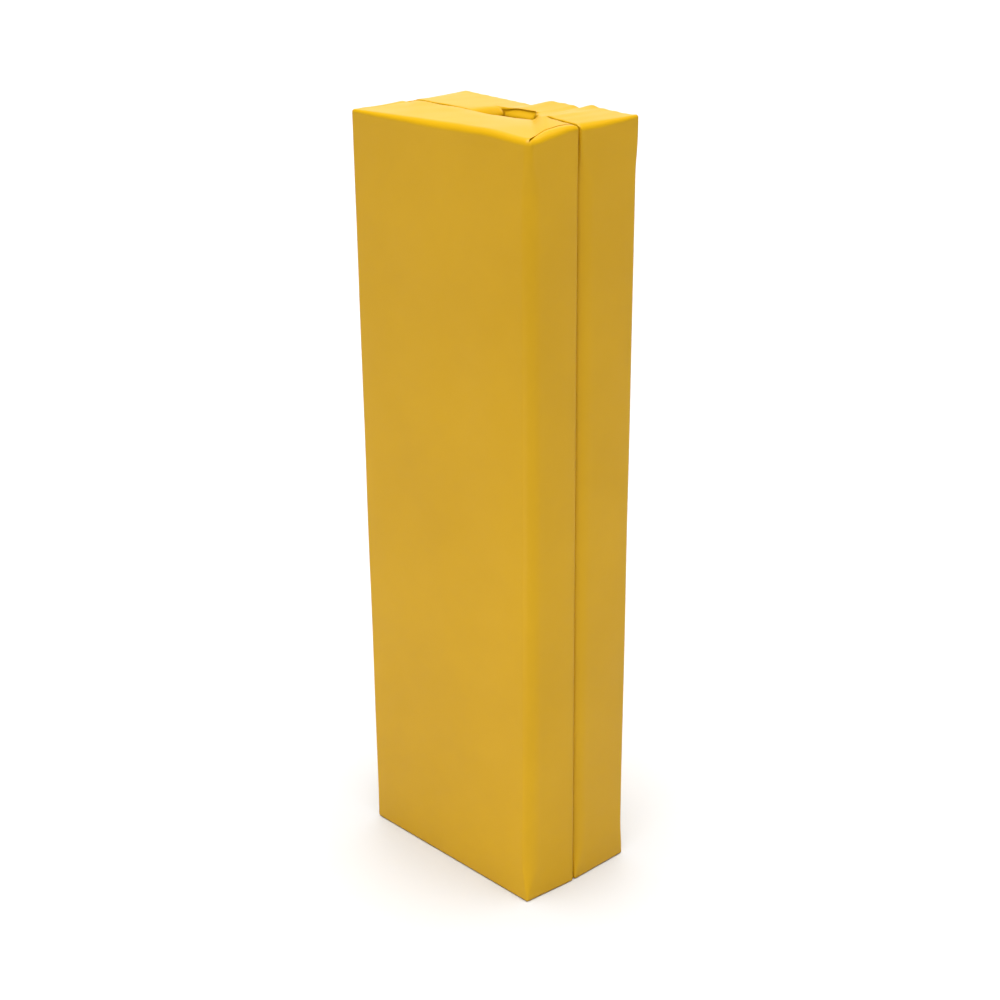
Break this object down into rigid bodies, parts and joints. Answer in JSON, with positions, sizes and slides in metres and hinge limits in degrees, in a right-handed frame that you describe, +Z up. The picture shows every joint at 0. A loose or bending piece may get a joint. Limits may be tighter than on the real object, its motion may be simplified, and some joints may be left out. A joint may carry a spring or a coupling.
{
  "type": "column protector pad",
  "caption": "Tall yellow vinyl-covered foam block in two hinged halves, with a channel between them that closes round a post.",
  "frame": {"origin": "centre of the base, on the floor; the slit between the two halves lies 9 mm in front of it", "axes": "+Z up along the post, -Y out of the broad front face, +X out of the closing side, away from the hinge"},
  "size_m": [0.3311, 0.195, 1.067],
  "materials": {
    "vinyl": "satin",
    "foam": "open-cell foam",
    "hook_tape": "moulded hooks",
    "loop_tape": "brushed loops"
  },
  "bodies": {
    "rear_half": {"rear_foam_back_slab": "foam", "rear_foam_left_cheek": "foam", "rear_foam_right_cheek": "foam", "rear_cover_wrap": "vinyl", "rear_left_mating_panel": "vinyl", "rear_right_mating_panel": "vinyl", "channel_liner": "vinyl", "rear_top_panel": "vinyl", "rear_bottom_panel": "vinyl", "hinge_rear_leaf": "vinyl", "hook_tape": "hook_tape"},
    "front_half": {"front_foam_core": "foam", "front_cover_wrap": "vinyl", "front_mating_panel": "vinyl", "front_top_panel": "vinyl", "front_top_left_gusset": "vinyl", "front_top_right_gusset": "vinyl", "front_bottom_panel": "vinyl", "loop_tape": "loop_tape", "hinge_front_leaf": "vinyl"}
  },
  "joints": [
    {"name": "hinge", "type": "hinge", "parent": "rear_half", "child": "front_half", "pos_m": [-0.16625, -0.009, 0.5335], "axis": [0, 0, -1], "range_deg": [0, 178]}
  ]
}
